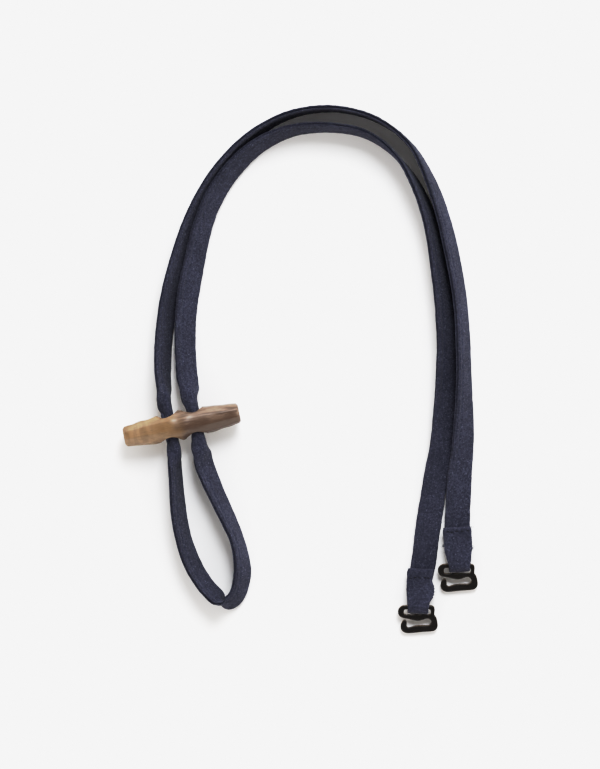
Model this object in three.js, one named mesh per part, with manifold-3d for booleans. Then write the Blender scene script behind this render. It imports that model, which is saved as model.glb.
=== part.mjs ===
// A dress-accessory strap: one narrow navy cotton strap laid double, with a wooden toggle
// threaded on it above a small loop, and a black G-hook sewn into each of its two ends.
// Millimetres, +Z up. The strap lies on the plane Z = 0, with its arch towards +Y.
import * as THREE from "three";
import { mergeVertices } from "three/addons/utils/BufferGeometryUtils.js";
import Module from "manifold-3d";

const wasm = await Module();
wasm.setup();

// Driving dimensions.
const clearance = 0.3;
const strapWidth = 10;
const strapThickness = 1.9;
const strapChamfer = 0.45;
const stepsPerPoint = 2;

const toggleLength = 47;
const toggleMiddleRadius = 6.05;
const toggleEndRadius = 4.0;
const toggleBevel = 0.7;
const toggleSides = 14;
const toggleCentre = new THREE.Vector2(-47.6, -22.3);
const toggleTilt = THREE.MathUtils.degToRad(11.75);
const boreRadius = 3.5;
const borePitch = 10;
const boreSides = 28;
const boreLean = [138, 65];
const slideUp = 4;
const slideDown = 4;
const slideSpare = 6;

const hookThickness = 1.6;
const hookBar = 1.5;
const hookBevel = 0.3;
const slotHalfWidth = 5.4;
const slotDepth = 2.35;
const slotCorner = 0.9;
const foldCloth = 1.4;
const tabLength = 15.4;
const tabCloth = 1.6;
const strapToBar = 5.8;
const straightEnd = 3;

const threadWidth = 0.5;
const stitchPitch = 2.0;
const stitchCount = 4;

// The route below was chosen for this cloth. A wider or thicker strap moves the outer run out.
const routeWidth = 10;
const routeThickness = 1.9;
const spread = strapWidth - routeWidth + 2 * (strapThickness - routeThickness);

// Each hook's top bar: its middle and its turn in plan, then how the cloth sits on it, how wide
// the cloth is at its fold and in its tab, and how far the stitch row is from the tab's end.
const hooks = {
  left: {
    x: 46.7, y: -95.4, turn: 0,
    clothOffset: 0.3, clothTurn: -3, foldWidth: 8.2, tabWidth: 10.2, row: 3.6,
  },
  right: {
    x: 62.7 + spread, y: -78.8, turn: 0.5,
    clothOffset: 0.8, clothTurn: 3.5, foldWidth: 8.4, tabWidth: 11.4, row: 1.6,
  },
};

// The strap's route, from one hook, round the arch and the loop, and back round the arch.
// Each point is [x, y, lean, lift]: lean turns the strap about its route, from 0 lying flat
// through 90 on edge to 180 flat on its other face, and lift raises it from the surface that
// it lies on (0) to the height of the toggle's bores (1).
const innerRun = [
  [49.2, -78.0, 0, 0],
  [50.8, -65.2, 4, 0],
  [52.8, -52.4, 8, 0],
  [54.3, -42.8, 11, 0],
  [56.2, -32.4, 18, 0],
  [57.5, -20.4, 26, 0],
  [58.3, -4.4, 33, 0],
  [58.5, 11.6, 38, 0],
  [57.2, 27.6, 45, 0],
  [55.0, 43.6, 50, 0],
  [52.0, 58.6, 57, 0],
  [46.9, 71.9, 69, 0],
  [38.9, 84.3, 86, 0],
  [26.7, 93.6, 97, 0],
  [11.5, 96.6, 101, 0],
  [-3.8, 95.3, 109, 0],
  [-17.4, 89.0, 121, 0],
  [-27.9, 79.0, 128, 0],
  [-35.4, 67.3, 132, 0],
  [-39.9, 54.7, 136, 0],
  [-42.8, 41.6, 141, 0],
  [-45.2, 29.2, 143, 0],
  [-46.2, 18.0, 142, 0],
  [-46.2, 8.4, 142, 0.05],
  [-45.7, -0.4, 141, 0.3],
  [-45.2, -6.2, 139, 0.6],
];
const loopRun = [
  [-39.3, -36.4, 136, 0.6],
  [-36.9, -42.6, 131, 0.25],
  [-34.3, -48.8, 127, 0.05],
  [-31.1, -55.6, 124, 0],
  [-28.1, -62.0, 120, 0],
  [-25.5, -68.4, 117, 0],
  [-23.9, -75.0, 122, 0],
  [-23.3, -81.2, 128, 0],
  [-24.0, -86.0, 127, 0],
  [-25.1, -90.0, 126, 0],
  [-27.0, -93.2, 119, 0],
  [-29.6, -95.0, 106, 0],
  [-31.8, -95.4, 94, 0],
  [-33.2, -94.2, 82, 0],
  [-33.9, -92.2, 68, 0],
  [-35.9, -89.4, 58, 0],
  [-38.7, -85.8, 55, 0],
  [-42.3, -80.0, 54, 0],
  [-45.0, -73.8, 55, 0],
  [-47.1, -67.0, 57, 0],
  [-48.4, -60.6, 59, 0],
  [-49.2, -54.2, 61, 0],
  [-49.7, -48.0, 64, 0.05],
  [-50.1, -42.6, 66, 0.25],
  [-50.5, -38.0, 66, 0.6],
];
const outerRun = [
  [-54.8, -7.6, 63, 0.6],
  [-55.2, -1.2, 58, 0.3],
  [-55.1, 8.4, 54, 0.05],
  [-54.2, 18.0, 52, 0],
  [-52.6, 29.2, 54, 0],
  [-49.5, 41.6, 56, 0],
  [-45.0, 56.1, 58, 0],
  [-39.0, 69.5, 62, 0],
  [-30.7, 82.0, 67, 0],
  [-19.5, 93.2, 73, 0],
  [-4.9, 101.5, 82, 0],
  [12.2, 104.1, 87, 0],
  [29.5, 100.2, 90, 0],
  [43.6, 89.9, 97, 0],
  [52.0, 74.9, 111, 0],
  [57.1, 60.2, 119, 0],
  [61.0, 43.6, 121, 0],
  [63.7, 27.6, 120, 0],
  [64.9, 11.6, 122, 0],
  [65.3, -4.4, 124, 0],
  [65.3, -20.4, 139, 0],
  [64.8, -32.4, 151, 0],
  [63.7, -42.8, 164, 0],
  [63.2, -52.4, 173, 0],
  [62.8, -62.0, 180, 0],
];

// The hook's outline from its top bar's left end, with the middle of the bar at the origin: a
// closed upper slot, a middle bar with a shallow V, and an open lower hook, its mouth at the left.
const hookOutline = [
  [-4.7, 0.75], [-5.8, 0.7], [-6.8, 0.2], [-7.5, -0.6], [-7.8, -1.6], [-7.6, -2.8], [-7.1, -3.6],
  [-6.3, -4.15], [-4.7, -4.5], [-3.1, -4.85], [-1.3, -5.3], [0.4, -5.5], [2.1, -5.15], [3.4, -4.7],
  [4.5, -4.65], [5.3, -5.2], [5.65, -6.15], [5.3, -6.95], [4.5, -7.45], [2.9, -7.5], [0.7, -7.55],
  [-1.2, -7.75], [-2.7, -8.25], [-3.5, -8.4], [-4.1, -8.0], [-4.3, -7.2], [-4.25, -6.15],
  [-4.6, -5.4], [-5.25, -5.2], [-5.9, -5.65], [-6.4, -6.55], [-6.7, -7.6], [-6.55, -8.8],
  [-5.9, -9.9], [-4.8, -10.5], [-3.4, -10.65], [-0.6, -10.4], [2.0, -10.15], [4.7, -10.0],
  [6.4, -9.8], [7.6, -9.1], [8.2, -8.0], [8.25, -6.8], [8.0, -5.5], [7.6, -4.15], [7.0, -3.3],
  [6.85, -2.5], [7.0, -1.2], [6.85, -0.1], [6.3, 0.55], [5.3, 0.75], [2.6, 0.75], [0, 0.75],
  [-2.6, 0.75],
];

// Worked-out sizes.
const toggleAxis = new THREE.Vector2(Math.cos(toggleTilt), Math.sin(toggleTilt));
const alongBore = new THREE.Vector2(Math.sin(toggleTilt), -Math.cos(toggleTilt));
const toggleHeight = toggleMiddleRadius + clearance;
const gatheredSize = 2 * (boreRadius - clearance);
const gatheredChamfer = gatheredSize * 0.29;
const foldRadius = Math.hypot(hookBar, hookThickness) / 2 + 0.2;
const barHeight = foldRadius + foldCloth;
const up = new THREE.Vector3(0, 0, 1);

const cotton = new THREE.MeshStandardMaterial({ color: 0x1c2440, roughness: 0.95, metalness: 0 });
const threadNavy = new THREE.MeshStandardMaterial({ color: 0x232b4a, roughness: 0.8, metalness: 0 });
const wood = new THREE.MeshStandardMaterial({ color: 0x8f6a48, roughness: 0.55, metalness: 0 });
const blackEnamel = new THREE.MeshStandardMaterial({ color: 0x14120f, roughness: 0.25, metalness: 0.4 });

function named(geometry, material, name) {
  const mesh = new THREE.Mesh(geometry, material);
  mesh.name = name;
  return mesh;
}

// The cloth's own plan directions at a hook: across the strap, and up along it.
function clothAxes(hook) {
  const turn = THREE.MathUtils.degToRad(hook.clothTurn);
  return {
    across: new THREE.Vector3(Math.cos(turn), Math.sin(turn), 0),
    along: new THREE.Vector3(-Math.sin(turn), Math.cos(turn), 0),
  };
}

// A point on the cloth at a hook, x across from its middle line and y up from the hook's bar.
function onCloth(hook, x, y, z) {
  const { across, along } = clothAxes(hook);
  return new THREE.Vector3(hook.x, hook.y, z)
    .addScaledVector(across, hook.clothOffset + x)
    .addScaledVector(along, y);
}

// The strap's flat end, just short of the fold round a hook's bar.
function strapEnd(hook, lean, beyond) {
  const end = onCloth(hook, 0, strapToBar + beyond, 0);
  return [end.x, end.y, lean, 0];
}

// The straight stretch through one bore, from above the toggle down towards the loop.
function threaded(side, lean) {
  const bore = toggleCentre.clone().addScaledVector(toggleAxis, (side * borePitch) / 2);
  const top = -(slideUp + slideSpare);
  const bottom = slideDown + slideSpare;
  return [top, top / 2, 0, bottom / 3, (2 * bottom) / 3, bottom].map((q) => {
    const p = bore.clone().addScaledVector(alongBore, q);
    return [p.x, p.y, lean, 1];
  });
}

// The outer run's points, moved out by the spread, less where the toggle holds the strap up.
function movedOut(points) {
  return points.map(([x, y, lean, lift], i) => {
    const before = points[Math.max(i - 1, 0)];
    const after = points[Math.min(i + 1, points.length - 1)];
    const outward = new THREE.Vector2(before[1] - after[1], after[0] - before[0]).normalize();
    const move = spread * (1 - lift);
    return [x + outward.x * move, y + outward.y * move, lean, lift];
  });
}

// A body that follows stations { centre, across, through, width, thickness, chamfer }.
// Each section is a rectangle with its corners cut: width along across, thickness along through.
function ribbon(stations) {
  const vertices = [];
  for (const s of stations) {
    const w = s.width / 2;
    const t = s.thickness / 2;
    const c = Math.min(s.chamfer, 0.9 * w, 0.9 * t);
    const corners = [
      [w, t - c], [w - c, t], [c - w, t], [-w, t - c],
      [-w, c - t], [c - w, -t], [w - c, -t], [w, c - t],
    ];
    for (const [a, b] of corners) {
      const p = s.centre.clone().addScaledVector(s.across, a).addScaledVector(s.through, b);
      vertices.push(p.x, p.y, p.z);
    }
  }
  const ring = vertices.length / 3 / stations.length;
  const index = [];
  for (let i = 0; i < stations.length - 1; i++) {
    for (let k = 0; k < ring; k++) {
      const a = i * ring + k;
      const b = i * ring + ((k + 1) % ring);
      index.push(a, b, b + ring, a, b + ring, a + ring);
    }
  }
  const last = (stations.length - 1) * ring;
  for (let k = 1; k < ring - 1; k++) {
    index.push(0, k + 1, k);
    index.push(last, last + k, last + k + 1);
  }
  const geometry = new THREE.BufferGeometry();
  geometry.setAttribute("position", new THREE.Float32BufferAttribute(vertices, 3));
  geometry.setIndex(index);
  return geometry;
}

// Half the height that a leaning section takes up, which is how high its middle lies.
function halfHeight(lean, width, thickness) {
  return (width * Math.abs(Math.sin(lean)) + thickness * Math.abs(Math.cos(lean))) / 2;
}

// The whole strap as stations at any parameter from 0 to 1.
function strapRoute() {
  const points = [
    strapEnd(hooks.left, 0, 0),
    strapEnd(hooks.left, 0, straightEnd),
    ...innerRun,
    ...threaded(1, boreLean[0]),
    ...loopRun,
    ...threaded(-1, boreLean[1]).reverse(),
    ...movedOut(outerRun),
    strapEnd(hooks.right, 180, straightEnd),
    strapEnd(hooks.right, 180, 0),
  ];
  const plan = new THREE.CatmullRomCurve3(points.map(([x, y]) => new THREE.Vector3(x, y, 0)));
  const turns = new THREE.CatmullRomCurve3(
    points.map((p) => new THREE.Vector3(p[2], p[3], 0)),
    false,
    "catmullrom",
    0.5,
  );
  const segments = points.length - 1;
  const station = (place) => {
    const t = place / segments;
    const centre = plan.getPoint(t);
    const forward = plan.getTangent(t);
    const leftward = up.clone().cross(forward);
    const turn = turns.getPoint(t);
    const lean = THREE.MathUtils.degToRad(turn.x);
    const lift = THREE.MathUtils.clamp(turn.y, 0, 1);
    const gather = THREE.MathUtils.smoothstep(lift, 0.6, 0.98);
    const width = THREE.MathUtils.lerp(strapWidth, gatheredSize, gather);
    const thickness = THREE.MathUtils.lerp(strapThickness, gatheredSize * 0.85, gather);
    const chamfer = THREE.MathUtils.lerp(strapChamfer, gatheredChamfer, gather);
    centre.z = THREE.MathUtils.lerp(halfHeight(lean, width, thickness), toggleHeight, lift);
    return {
      centre,
      across: leftward.clone().multiplyScalar(Math.cos(lean)).addScaledVector(up, Math.sin(lean)),
      through: up.clone().multiplyScalar(Math.cos(lean)).addScaledVector(leftward, -Math.sin(lean)),
      width,
      thickness,
      chamfer,
    };
  };
  const boreDown = 2 + innerRun.length + 2;
  const boreUp = 2 + innerRun.length + 6 + loopRun.length + 3;
  return { station, segments, boreDown, boreUp };
}

// The stretch of the strap between two places on its route.
function strapStretch(route, from, to) {
  const count = Math.round((to - from) * stepsPerPoint);
  const places = Array.from({ length: count + 1 }, (_, i) => from + ((to - from) * i) / count);
  return ribbon(places.map(route.station));
}

// The end of the strap: under the hook's bar, round it, and back on top of itself as the tab.
function tabStations(hook) {
  const { foldWidth, tabWidth } = hook;
  const lower = foldCloth / 2;
  const upper = barHeight + foldRadius + foldCloth / 2;
  const tabHeight = strapThickness + clearance + tabCloth / 2;
  const bend = foldRadius + foldCloth / 2;
  const under = strapToBar - clearance;
  const path = [
    { y: under, z: strapThickness / 2, ny: 0, nz: 1, width: strapWidth, cloth: strapThickness },
    { y: under / 2, z: lower, ny: 0, nz: 1, width: (strapWidth + foldWidth) / 2, cloth: foldCloth },
  ];
  const bendSteps = 6;
  for (let i = 0; i <= bendSteps; i++) {
    const a = (Math.PI * i) / bendSteps;
    const ny = Math.sin(a);
    const nz = Math.cos(a);
    path.push({ y: -bend * ny, z: barHeight - bend * nz, ny, nz, width: foldWidth, cloth: foldCloth });
  }
  path.push({ y: 3, z: upper - 0.5, ny: -0.3, nz: -1, width: (foldWidth + tabWidth) / 2, cloth: foldCloth });
  path.push({ y: 6.5, z: tabHeight + 0.25, ny: -0.15, nz: -1, width: tabWidth, cloth: tabCloth });
  path.push({ y: 9, z: tabHeight, ny: 0, nz: -1, width: tabWidth, cloth: tabCloth });
  path.push({ y: tabLength, z: tabHeight, ny: 0, nz: -1, width: tabWidth, cloth: tabCloth });
  const { across, along } = clothAxes(hook);
  return path.map(({ y, z, ny, nz, width, cloth }) => ({
    centre: onCloth(hook, 0, y, z),
    across,
    through: along.clone().multiplyScalar(ny).addScaledVector(up, nz).normalize(),
    width,
    thickness: cloth,
    chamfer: 0.35,
  }));
}

// One row of stitches across the tab, drawn as a single wavy thread on its face.
function stitchRow(hook) {
  const { along } = clothAxes(hook);
  const height = strapThickness + clearance + tabCloth + clearance + threadWidth / 2;
  const stations = [];
  const halves = stitchCount * 2;
  for (let i = 0; i <= halves; i++) {
    const x = ((i - stitchCount) * stitchPitch) / 2;
    const wave = i % 2 ? 0.12 : -0.12;
    stations.push({
      centre: onCloth(hook, x, tabLength - hook.row + wave, height),
      across: along,
      through: up,
      width: threadWidth,
      thickness: threadWidth,
      chamfer: threadWidth / 4,
    });
  }
  return ribbon(stations);
}

function hookShape() {
  const corners = hookOutline.map(([x, y]) => new THREE.Vector3(x, y, 0));
  const curve = new THREE.CatmullRomCurve3(corners, true);
  const shape = new THREE.Shape(curve.getPoints(2 * corners.length).slice(0, -1));
  const top = -hookBar / 2;
  const bottom = top - slotDepth;
  const w = slotHalfWidth;
  const r = slotCorner;
  const slot = new THREE.Path();
  slot.moveTo(-w + r, top);
  slot.absarc(-w + r, top - r, r, Math.PI / 2, Math.PI, false);
  slot.absarc(-w + r, bottom + r, r, Math.PI, 1.5 * Math.PI, false);
  slot.absarc(w - r, bottom + r, r, 1.5 * Math.PI, 2 * Math.PI, false);
  slot.absarc(w - r, top - r, r, 0, Math.PI / 2, false);
  slot.closePath();
  shape.holes.push(slot);
  return shape;
}

function hookGeometry() {
  const geometry = new THREE.ExtrudeGeometry(hookShape(), {
    depth: hookThickness - 2 * hookBevel,
    curveSegments: 4,
    bevelEnabled: true,
    bevelThickness: hookBevel,
    bevelSize: hookBevel,
    bevelOffset: -hookBevel,
    bevelSegments: 2,
  });
  geometry.translate(0, 0, hookBevel - hookThickness / 2);
  return geometry;
}

// A hook hangs on its bar inside the fold, and droops until its lower end meets the surface.
function hookMesh(hook, name) {
  const reach = -Math.min(...hookOutline.map(([, y]) => y));
  const droop = Math.asin((barHeight - hookThickness / 2) / reach);
  const swing = new THREE.Group();
  swing.rotation.x = droop;
  swing.add(named(hookGeometry(), blackEnamel, name));
  const seat = new THREE.Group();
  seat.position.set(hook.x, hook.y, barHeight);
  seat.rotation.z = THREE.MathUtils.degToRad(hook.turn);
  seat.add(swing);
  return seat;
}

function solidOf(geometry) {
  geometry.deleteAttribute("normal");
  geometry.deleteAttribute("uv");
  const merged = mergeVertices(geometry, 1e-4);
  return new wasm.Manifold(
    new wasm.Mesh({
      numProp: 3,
      vertProperties: new Float32Array(merged.attributes.position.array),
      triVerts: new Uint32Array(merged.index.array),
    }),
  );
}

function geometryOf(solid) {
  const mesh = solid.getMesh();
  const geometry = new THREE.BufferGeometry();
  geometry.setAttribute("position", new THREE.Float32BufferAttribute(mesh.vertProperties, 3));
  geometry.setIndex(new THREE.Uint32BufferAttribute(mesh.triVerts, 1));
  return geometry;
}

// The toggle is turned about its own length, which is Y here, with two bores across it along X.
function toggleGeometry() {
  const half = toggleLength / 2;
  const shoulder = (share) => THREE.MathUtils.lerp(toggleMiddleRadius, toggleEndRadius, share);
  const side = [
    [half, toggleEndRadius - toggleBevel],
    [half - toggleBevel, shoulder(1)],
    [0.78 * half, shoulder(0.74)],
    [0.55 * half, shoulder(0.38)],
    [0.3 * half, shoulder(0.1)],
    [0, shoulder(0)],
  ];
  const profile = [
    new THREE.Vector2(0, -half),
    ...side.map(([y, r]) => new THREE.Vector2(r, -y)),
    ...side.slice(0, -1).reverse().map(([y, r]) => new THREE.Vector2(r, y)),
    new THREE.Vector2(0, half),
  ];
  let body = solidOf(new THREE.LatheGeometry(profile, toggleSides));
  for (const end of [-1, 1]) {
    const bore = new THREE.CylinderGeometry(boreRadius, boreRadius, 4 * toggleMiddleRadius, boreSides);
    bore.rotateZ(Math.PI / 2);
    bore.translate(0, (end * borePitch) / 2, 0);
    body = body.subtract(solidOf(bore));
  }
  return geometryOf(body);
}

function toggleMesh() {
  const mesh = named(toggleGeometry(), wood, "toggle");
  mesh.position.set(toggleCentre.x, toggleCentre.y, toggleHeight);
  mesh.rotation.z = toggleTilt - Math.PI / 2;
  return mesh;
}

function buildAssembly() {
  const group = new THREE.Group();
  const route = strapRoute();
  const spacing = (slideUp + slideSpare) / 2;
  const split = clearance / 2 / spacing;
  const { boreDown, boreUp, segments } = route;
  group.add(named(strapStretch(route, 0, boreDown - split), cotton, "strap_inner_run"));
  group.add(named(strapStretch(route, boreDown + split, boreUp - split), cotton, "strap_loop"));
  group.add(named(strapStretch(route, boreUp + split, segments), cotton, "strap_outer_run"));
  for (const [side, hook] of Object.entries(hooks)) {
    group.add(named(ribbon(tabStations(hook)), cotton, side + "_tab"));
    group.add(named(stitchRow(hook), threadNavy, side + "_tab_stitching"));
    group.add(hookMesh(hook, side + "_hook"));
  }
  group.add(toggleMesh());
  return group;
}

// Stands the assembly on Z = 0 with the origin under the middle of its box.
function centred(group) {
  const box = new THREE.Box3().setFromObject(group, true);
  const middle = box.getCenter(new THREE.Vector3());
  group.position.set(-middle.x, -middle.y, -box.min.z);
  return group;
}

export default centred(buildAssembly());
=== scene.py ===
import math

import bpy
import numpy as np
from mathutils import Matrix, Vector


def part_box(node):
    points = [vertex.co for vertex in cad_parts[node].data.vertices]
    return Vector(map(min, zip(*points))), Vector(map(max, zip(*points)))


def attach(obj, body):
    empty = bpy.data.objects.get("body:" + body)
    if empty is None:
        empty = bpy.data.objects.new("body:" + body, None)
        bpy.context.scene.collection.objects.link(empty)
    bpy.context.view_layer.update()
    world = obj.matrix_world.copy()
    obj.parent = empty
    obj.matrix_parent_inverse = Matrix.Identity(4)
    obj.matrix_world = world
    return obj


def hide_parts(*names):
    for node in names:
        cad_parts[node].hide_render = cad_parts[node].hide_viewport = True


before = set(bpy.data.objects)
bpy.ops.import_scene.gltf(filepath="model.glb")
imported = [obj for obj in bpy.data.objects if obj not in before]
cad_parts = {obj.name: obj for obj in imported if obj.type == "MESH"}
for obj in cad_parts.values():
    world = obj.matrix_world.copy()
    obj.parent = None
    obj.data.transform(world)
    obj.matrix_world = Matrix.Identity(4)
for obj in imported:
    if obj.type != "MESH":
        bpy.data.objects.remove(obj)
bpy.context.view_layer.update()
mm = 0.001

for spare in ("Cube", "Light", "Camera"):
    if spare in bpy.data.objects:
        bpy.data.objects.remove(bpy.data.objects[spare])

# The toggle's place in the strap's own plan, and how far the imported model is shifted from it.
toggle = {
    "centre": (-47.6, -22.3),
    "tilt": math.radians(11.75),
    "length": 47.0,
    "middleRadius": 6.05,
    "endRadius": 4.0,
    "height": 6.35,
    "borePitch": 10.0,
    "boreRadius": 3.5,
    "mouthDip": 0.25,
    "flare": 0.95,
    "facets": 9,
    "facetDepth": 0.55,
}
low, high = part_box("toggle")
shift = np.array([(low.x + high.x) / 2, (low.y + high.y) / 2]) / mm - np.array(toggle["centre"])
print("toggle at", shift.round(3))

# The camera looks straight down from a metre and a bit, framed on the laid-out strap.
cameraPlan = {"x": -0.00021, "y": -0.00585, "height": 1.25, "seenHeight": 0.3076, "focus": 0.005}


def makeCamera(plan):
    data = bpy.data.cameras.new("camera")
    data.sensor_fit = "VERTICAL"
    data.sensor_height = 24
    data.lens = data.sensor_height * (plan["height"] - plan["focus"]) / plan["seenHeight"]
    data.clip_start = 0.05
    camera = bpy.data.objects.new("camera", data)
    camera.location = (plan["x"], plan["y"], plan["height"])
    bpy.context.scene.collection.objects.link(camera)
    bpy.context.scene.camera = camera


makeCamera(cameraPlan)


# One wire of a shader: the usual operators add Math nodes, and make() adds any other node.
class Wire:
    def __init__(self, tree, socket=None):
        self.tree = tree
        self.socket = socket

    def make(self, kind, settings=None, inputs=None, out=0):
        node = self.tree.nodes.new("ShaderNode" + kind)
        for name, value in (settings or {}).items():
            if name == "stops":
                while len(node.color_ramp.elements) < len(value):
                    node.color_ramp.elements.new(0.5)
                for element, (place, colour) in zip(node.color_ramp.elements, value):
                    element.position = place
                    element.color = (*colour, 1)
            else:
                setattr(node, name, value)
        for name, value in (inputs or {}).items():
            if isinstance(value, Wire):
                self.tree.links.new(value.socket, node.inputs[name])
            else:
                node.inputs[name].default_value = value
        return Wire(self.tree, node.outputs[out])

    def maths(self, operation, *values):
        return self.make("Math", {"operation": operation}, dict(enumerate(values)))

    def __add__(self, other):
        return self.maths("ADD", self, other)

    def __radd__(self, other):
        return self.maths("ADD", other, self)

    def __sub__(self, other):
        return self.maths("SUBTRACT", self, other)

    def __rsub__(self, other):
        return self.maths("SUBTRACT", other, self)

    def __mul__(self, other):
        return self.maths("MULTIPLY", self, other)

    def __rmul__(self, other):
        return self.maths("MULTIPLY", other, self)

    def __truediv__(self, other):
        return self.maths("DIVIDE", self, other)

    def between(self, start, end, low=0.0, high=1.0):
        return self.make(
            "MapRange",
            {"interpolation_type": "SMOOTHSTEP"},
            {"Value": self, "From Min": start, "From Max": end, "To Min": low, "To Max": high},
        )

    def noise(self, where, scale, detail=2.0, roughness=0.5):
        return self.make(
            "TexNoise",
            None,
            {"Vector": where, "Scale": scale, "Detail": detail, "Roughness": roughness},
        )

    def mix(self, factor, first, second):
        return self.make(
            "Mix", {"data_type": "RGBA"}, {0: factor, 6: first, 7: second}, out=2
        )

    def objectPlace(self):
        return self.make("TexCoord", out=3)


def newMaterial(name, settings):
    material = bpy.data.materials.new(name)
    material.use_nodes = True
    tree = material.node_tree
    shader = tree.nodes["Principled BSDF"]
    for socket, value in settings.items():
        shader.inputs[socket].default_value = value
    return material, Wire(tree), shader


def plug(wire, shader, name):
    wire.tree.links.new(wire.socket, shader.inputs[name])


def colour(red, green, blue):
    return (red, green, blue, 1.0)


# Navy cotton: a fine plain weave read from the cloth's own UV, mottled by lint and wear.
cotton = {
    "dark": (0.014, 0.015, 0.028),
    "base": (0.026, 0.027, 0.046),
    "pale": (0.050, 0.053, 0.084),
    "lint": (0.14, 0.15, 0.21),
    "threadPitch": 0.42,
    "bump": 0.00011,
}


def makeCotton(look):
    material, wire, shader = newMaterial(
        "navyCotton",
        {"Roughness": 0.92, "Sheen Weight": 0.05, "Sheen Roughness": 0.45, "Specular IOR Level": 0.12},
    )
    uv = wire.make("UVMap", {"uv_map": "cloth"})
    split = wire.make("SeparateXYZ", None, {0: uv})
    across = split
    along = Wire(wire.tree, split.socket.node.outputs[1])
    place = wire.objectPlace()
    turn = 2 * math.pi / look["threadPitch"]
    drift = wire.noise(place, 260.0, 2.0) * 1.4
    warp = (across * turn + drift).maths("SINE", across * turn + drift)
    weft = (along * turn + drift).maths("SINE", along * turn + drift)
    weave = warp * weft
    mottle = wire.noise(place, 1250.0, 3.0, 0.6)
    broad = wire.noise(place, 90.0, 3.0)
    fine = wire.noise(place, 2600.0, 3.0, 0.6)
    shade = mottle * 0.68 + broad * 0.24 + fine * 0.33 + weave * 0.06
    tone = wire.make(
        "ValToRGB",
        {"stops": [(0.47, look["dark"]), (0.625, look["base"]), (0.765, look["pale"])]},
        {0: shade},
    )
    speck = wire.noise(place, 1700.0, 1.0).between(0.66, 0.72)
    tone = wire.mix(speck * 0.5, tone, colour(*look["lint"]))
    plug(tone, shader, "Base Color")
    rise = weave * 0.45 + mottle * 0.9 + fine * 0.6
    bump = wire.make("Bump", None, {"Strength": 0.55, "Distance": look["bump"] * 4, "Height": rise})
    plug(bump, shader, "Normal")
    return material


navyCotton = makeCotton(cotton)

# The route: the points of the laid strap, in millimetres, with the lean and lift at each.
innerRun = [
    (49.2, -78.0, 0, 0), (50.8, -65.2, 4, 0), (52.8, -52.4, 8, 0), (54.3, -42.8, 11, 0),
    (56.2, -32.4, 18, 0), (57.5, -20.4, 26, 0), (58.3, -4.4, 33, 0), (58.5, 11.6, 38, 0),
    (57.2, 27.6, 45, 0), (55.0, 43.6, 50, 0), (52.0, 58.6, 57, 0), (46.9, 71.9, 69, 0),
    (38.9, 84.3, 86, 0), (26.7, 93.6, 97, 0), (11.5, 96.6, 101, 0), (-3.8, 95.3, 109, 0),
    (-17.4, 89.0, 121, 0), (-27.9, 79.0, 128, 0), (-35.4, 67.3, 132, 0), (-39.9, 54.7, 136, 0),
    (-42.8, 41.6, 141, 0), (-45.2, 29.2, 143, 0), (-46.2, 18.0, 142, 0), (-46.2, 8.4, 142, 0.05),
    (-45.7, -0.4, 141, 0.3), (-45.2, -6.2, 139, 0.6),
]
loopRun = [
    (-39.3, -36.4, 136, 0.6), (-36.9, -42.6, 131, 0.25), (-34.3, -48.8, 127, 0.05),
    (-31.1, -55.6, 124, 0), (-28.1, -62.0, 120, 0), (-25.5, -68.4, 117, 0), (-23.9, -75.0, 122, 0),
    (-23.3, -81.2, 128, 0), (-24.0, -86.0, 127, 0), (-25.1, -90.0, 126, 0), (-27.0, -93.2, 119, 0),
    (-29.6, -95.0, 106, 0), (-31.8, -95.4, 94, 0), (-33.2, -94.2, 82, 0), (-33.9, -92.2, 68, 0),
    (-35.9, -89.4, 58, 0), (-38.7, -85.8, 55, 0), (-42.3, -80.0, 54, 0), (-45.0, -73.8, 55, 0),
    (-47.1, -67.0, 57, 0), (-48.4, -60.6, 59, 0), (-49.2, -54.2, 61, 0), (-49.7, -48.0, 64, 0.05),
    (-50.1, -42.6, 66, 0.25), (-50.5, -38.0, 66, 0.6),
]
outerRun = [
    (-54.8, -7.6, 63, 0.6), (-55.2, -1.2, 58, 0.3), (-55.1, 8.4, 54, 0.05), (-54.2, 18.0, 52, 0),
    (-52.6, 29.2, 54, 0), (-49.5, 41.6, 56, 0), (-45.0, 56.1, 58, 0), (-39.0, 69.5, 62, 0),
    (-30.7, 82.0, 67, 0), (-19.5, 93.2, 73, 0), (-4.9, 101.5, 82, 0), (12.2, 104.1, 87, 0),
    (29.5, 100.2, 90, 0), (43.6, 89.9, 97, 0), (52.0, 74.9, 111, 0), (57.1, 60.2, 119, 0),
    (61.0, 43.6, 121, 0), (63.7, 27.6, 120, 0), (64.9, 11.6, 122, 0), (65.3, -4.4, 124, 0),
    (65.3, -20.4, 139, 0), (64.8, -32.4, 151, 0), (63.7, -42.8, 164, 0), (63.2, -52.4, 173, 0),
    (62.8, -62.0, 180, 0),
]
strap = {
    "width": 10.0,
    "thickness": 1.9,
    "step": 0.6,
    "ringPoints": 64,
    "boreLean": (130, 66),
    "slideUp": 4,
    "slideDown": 4,
    "slideSpare": 6,
    "toBar": 5.8,
    "straightEnd": 3.0,
    "foldCloth": 1.4,
    "tabLength": 15.4,
    "tabCloth": 1.6,
    "barHeight": 2.697,
    "foldRadius": 1.297,
    "clearance": 0.3,
}
hooks = {
    "left": {
        "at": (46.7, -95.4), "turn": 0.0, "clothOffset": 0.3, "clothTurn": -3,
        "foldWidth": 8.2, "tabWidth": 10.2, "row": 3.6,
    },
    "right": {
        "at": (62.7, -78.8), "turn": 0.5, "clothOffset": 0.8, "clothTurn": 3.5,
        "foldWidth": 8.4, "tabWidth": 11.4, "row": 1.6,
    },
}

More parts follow.
